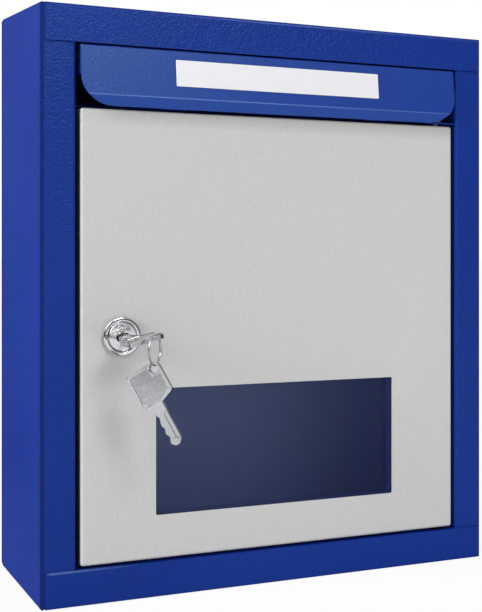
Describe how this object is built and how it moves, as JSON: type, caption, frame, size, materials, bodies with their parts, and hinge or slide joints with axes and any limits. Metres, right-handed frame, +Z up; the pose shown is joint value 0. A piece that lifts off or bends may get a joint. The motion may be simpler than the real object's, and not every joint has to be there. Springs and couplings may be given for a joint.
{
  "type": "suggestion box",
  "caption": "Wall or desk box of folded sheet steel with a lift-up letter flap, a hinged door with a clear window, and a cam lock with its keys on a ring.",
  "frame": {"origin": "middle of the underside that the box stands on", "axes": "+Z up, +Y towards the back panel, +X to the right as one faces the door"},
  "size_m": [0.256, 0.1403, 0.305],
  "materials": {
    "blue_powder_coat": "textured royal blue powder coat",
    "grey_powder_coat": "fine-grained light grey powder coat",
    "bright_chrome": "bright plated",
    "zinc_plate": "dull zinc plate",
    "clear_acrylic": "clear sheet",
    "black_nylon": "moulded",
    "label_paper": "bare smooth label"
  },
  "bodies": {
    "case": {"left_side": "blue_powder_coat", "right_side": "blue_powder_coat", "roof_panel": "blue_powder_coat", "floor_panel": "blue_powder_coat", "back_panel": "blue_powder_coat", "sill_rail": "blue_powder_coat", "door_stop_low": "blue_powder_coat", "door_stop_high": "blue_powder_coat", "door_pin_low": "zinc_plate", "door_pin_high": "zinc_plate", "pivot_washer": "black_nylon", "flap_pin_left": "zinc_plate", "flap_pin_right": "zinc_plate", "flap_spacer_left": "black_nylon", "flap_spacer_right": "black_nylon"},
    "door": {"door_panel": "grey_powder_coat", "window_pane": "clear_acrylic", "window_clip_low_left": "zinc_plate", "window_clip_low_right": "zinc_plate", "window_clip_high_left": "zinc_plate", "window_clip_high_right": "zinc_plate", "lock_barrel": "bright_chrome", "lock_nut": "zinc_plate", "lock_washer": "zinc_plate"},
    "letter_flap": {"flap": "blue_powder_coat", "title_label": "label_paper"},
    "plug": {"lock_plug": "bright_chrome", "lock_cam": "zinc_plate", "cam_washer": "zinc_plate", "cam_screw": "zinc_plate"},
    "key": {"door_key": "bright_chrome"},
    "ring": {"key_ring": "bright_chrome"},
    "spare": {"spare_key": "bright_chrome"}
  },
  "joints": [
    {"name": "door_hinge", "type": "hinge", "parent": "case", "child": "door", "pos_m": [0.1003, -0.041, 0.13275], "axis": [0, 0, 1], "range_deg": [0, 110]},
    {"name": "flap_hinge", "type": "hinge", "parent": "case", "child": "letter_flap", "pos_m": [0, -0.042, 0.2725], "axis": [-1, 0, 0], "range_deg": [0, 70]},
    {"name": "lock_turn", "type": "hinge", "parent": "door", "child": "plug", "pos_m": [-0.0877, -0.046, 0.1326], "axis": [0, -1, 0], "range_deg": [0, 90]},
    {"name": "key_slide", "type": "slide", "parent": "plug", "child": "key", "axis": [0, 1, 0], "range_m": [-0.004, 0.012]},
    {"name": "ring_swing", "type": "hinge", "parent": "key", "child": "ring", "pos_m": [-0.08292, -0.08363, 0.12872], "axis": [0.7547, -0.6561, 0], "range_deg": [-20, 20]},
    {"name": "spare_swing", "type": "hinge", "parent": "ring", "child": "spare", "pos_m": [-0.08292, -0.08363, 0.12142], "axis": [0.6561, 0.7547, 0], "range_deg": [-20, 20]}
  ]
}
